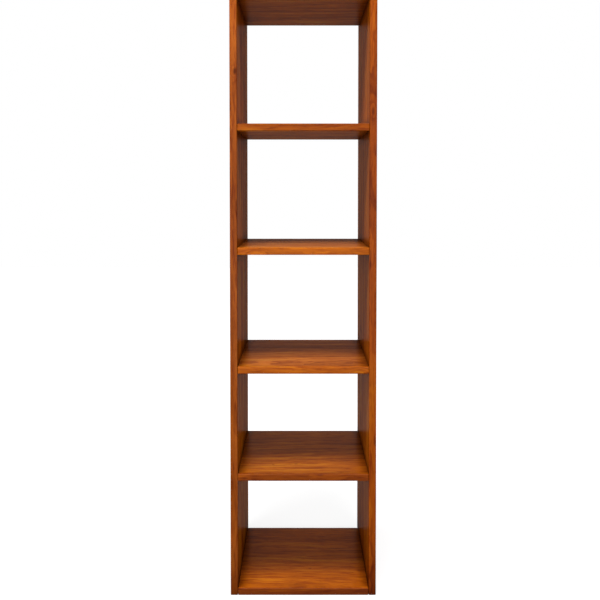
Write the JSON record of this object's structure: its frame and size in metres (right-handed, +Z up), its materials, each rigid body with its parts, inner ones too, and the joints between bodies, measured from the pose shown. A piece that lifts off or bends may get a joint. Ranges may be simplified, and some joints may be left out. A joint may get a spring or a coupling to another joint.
{
  "type": "tall narrow open bookshelf",
  "caption": "Tall narrow open-backed wooden bookshelf with fixed shelves between two full-height sides, doweled and screwed.",
  "frame": {"origin": "on the floor, under the middle of the case's outer box", "axes": "+Z up along the case's height, +Y towards its back, +X to the right as seen from the front"},
  "size_m": [0.4, 0.35, 1.659],
  "materials": {
    "side_wood": "satin lacquered red-brown hardwood, grain upright",
    "shelf_wood": "satin lacquered red-brown hardwood, grain across",
    "dowel_wood": "bare turned and fluted beech",
    "plug_wood": "satin lacquered turned hardwood",
    "screw_steel": "zinc-plated steel"
  },
  "bodies": {
    "root": {"left_side": "side_wood", "right_side": "side_wood", "base_panel": "shelf_wood", "shelf_1": "shelf_wood", "shelf_2": "shelf_wood", "shelf_3": "shelf_wood", "shelf_4": "shelf_wood", "top_panel": "shelf_wood", "base_left_front_dowel": "dowel_wood", "base_left_back_dowel": "dowel_wood", "base_left_screw": "screw_steel", "base_left_plug": "plug_wood", "base_right_front_dowel": "dowel_wood", "base_right_back_dowel": "dowel_wood", "base_right_screw": "screw_steel", "base_right_plug": "plug_wood", "shelf_1_left_front_dowel": "dowel_wood", "shelf_1_left_back_dowel": "dowel_wood", "shelf_1_left_screw": "screw_steel", "shelf_1_left_plug": "plug_wood", "shelf_1_right_front_dowel": "dowel_wood", "shelf_1_right_back_dowel": "dowel_wood", "shelf_1_right_screw": "screw_steel", "shelf_1_right_plug": "plug_wood", "shelf_2_left_front_dowel": "dowel_wood", "shelf_2_left_back_dowel": "dowel_wood", "shelf_2_left_screw": "screw_steel", "shelf_2_left_plug": "plug_wood", "shelf_2_right_front_dowel": "dowel_wood", "shelf_2_right_back_dowel": "dowel_wood", "shelf_2_right_screw": "screw_steel", "shelf_2_right_plug": "plug_wood", "shelf_3_left_front_dowel": "dowel_wood", "shelf_3_left_back_dowel": "dowel_wood", "shelf_3_left_screw": "screw_steel", "shelf_3_left_plug": "plug_wood", "shelf_3_right_front_dowel": "dowel_wood", "shelf_3_right_back_dowel": "dowel_wood", "shelf_3_right_screw": "screw_steel", "shelf_3_right_plug": "plug_wood", "shelf_4_left_front_dowel": "dowel_wood", "shelf_4_left_back_dowel": "dowel_wood", "shelf_4_left_screw": "screw_steel", "shelf_4_left_plug": "plug_wood", "shelf_4_right_front_dowel": "dowel_wood", "shelf_4_right_back_dowel": "dowel_wood", "shelf_4_right_screw": "screw_steel", "shelf_4_right_plug": "plug_wood", "top_left_front_dowel": "dowel_wood", "top_left_back_dowel": "dowel_wood", "top_left_screw": "screw_steel", "top_left_plug": "plug_wood", "top_right_front_dowel": "dowel_wood", "top_right_back_dowel": "dowel_wood", "top_right_screw": "screw_steel", "top_right_plug": "plug_wood"}
  },
  "joints": []
}
